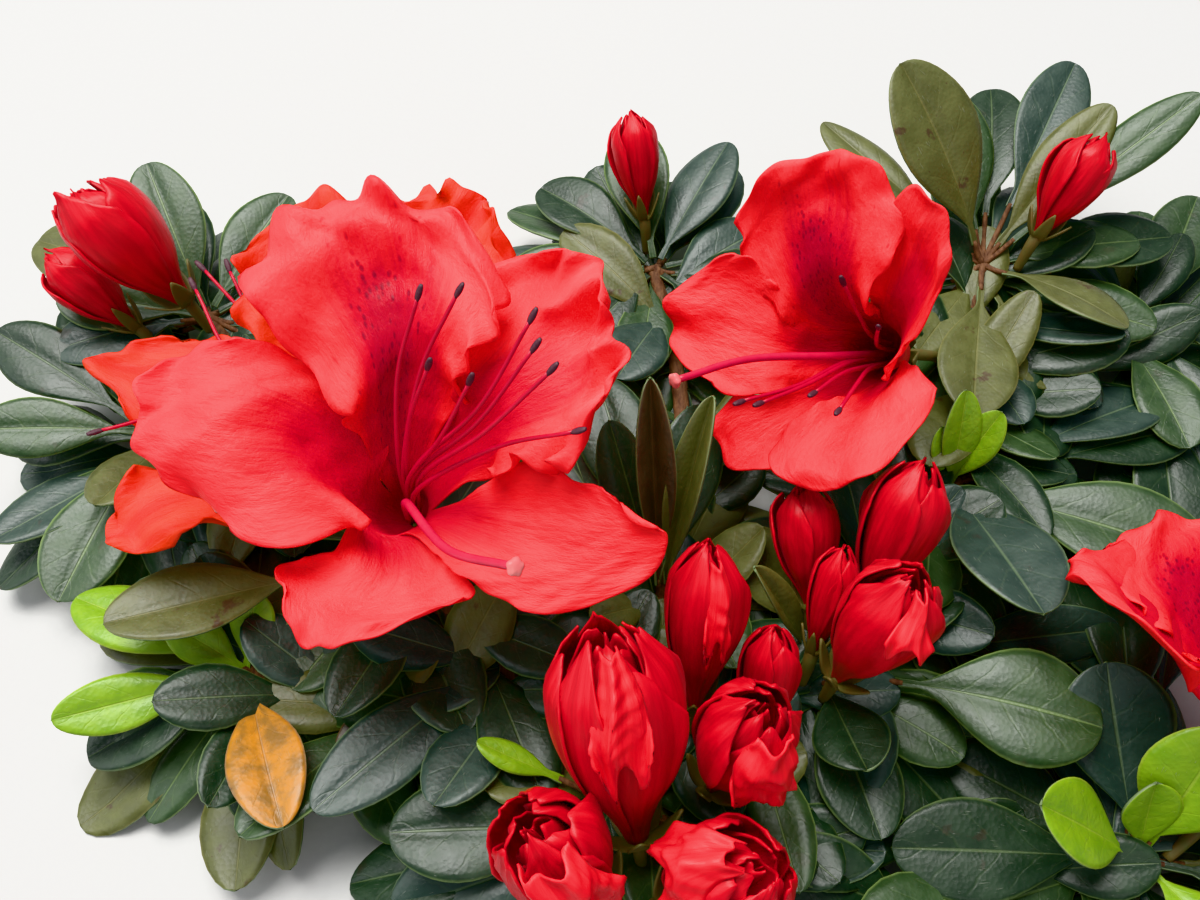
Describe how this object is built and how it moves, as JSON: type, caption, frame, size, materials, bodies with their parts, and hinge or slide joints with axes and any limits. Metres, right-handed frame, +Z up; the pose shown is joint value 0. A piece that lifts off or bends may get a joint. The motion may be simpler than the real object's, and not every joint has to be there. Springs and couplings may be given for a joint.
{
  "type": "cut azalea flowering branch",
  "caption": "Cut azalea branch lying down: a woody stem forking into leafy shoots, with wide open five-petalled red blooms and furled red buds.",
  "frame": {"origin": "middle of the branch's box, on the surface it lies on", "axes": "+Z up from the surface, +Y from the stem's cut end towards the shoots, +X to the right seen from the cut end"},
  "size_m": [0.2151, 0.1911, 0.0646],
  "materials": {
    "bark": "rough brown bark with fine lengthwise cracks, bristly on the young shoots",
    "petal": "soft satin coral red petal, darker and spotted at the throat",
    "bud": "deep red furled petals, satin, creased lengthwise",
    "leaf": "glossy leathery dark green leaf with a paler edge and midrib and short hairs"
  },
  "bodies": {
    "root": {"main_stem": "bark", "bough_left": "bark", "bough_lower_left": "bark", "bough_upper_left": "bark", "bough_far_left": "bark", "bough_middle": "bark", "bough_back": "bark", "bough_right_truss": "bark", "bough_right": "bark", "bough_top_right": "bark", "bough_right_mid": "bark", "bough_lower_right": "bark", "bloom_left": "petal", "bloom_behind": "petal", "bloom_right": "petal", "bloom_far_right": "petal", "bud_near_big": "bud", "bud_near_left": "bud", "bud_near_right": "bud", "bud_mid_upper": "bud", "bud_mid_front": "bud", "bud_mid_back": "bud", "bud_right_big": "bud", "bud_right_upper": "bud", "bud_right_back": "bud", "bud_right_small": "bud", "bud_top_right": "bud", "bud_opening_left": "bud", "bud_back_left": "bud", "bud_back_middle": "bud", "leaves_left_truss": "leaf", "leaves_left_stalk": "leaf", "leaves_lower_left": "leaf", "leaves_far_left": "leaf", "leaves_upper_left": "leaf", "leaves_middle": "leaf", "leaves_near": "leaf", "leaves_back": "leaf", "leaves_right_truss": "leaf", "leaves_right": "leaf", "leaves_top_right": "leaf", "leaves_right_mid": "leaf", "leaves_lower_right": "leaf"}
  },
  "joints": []
}
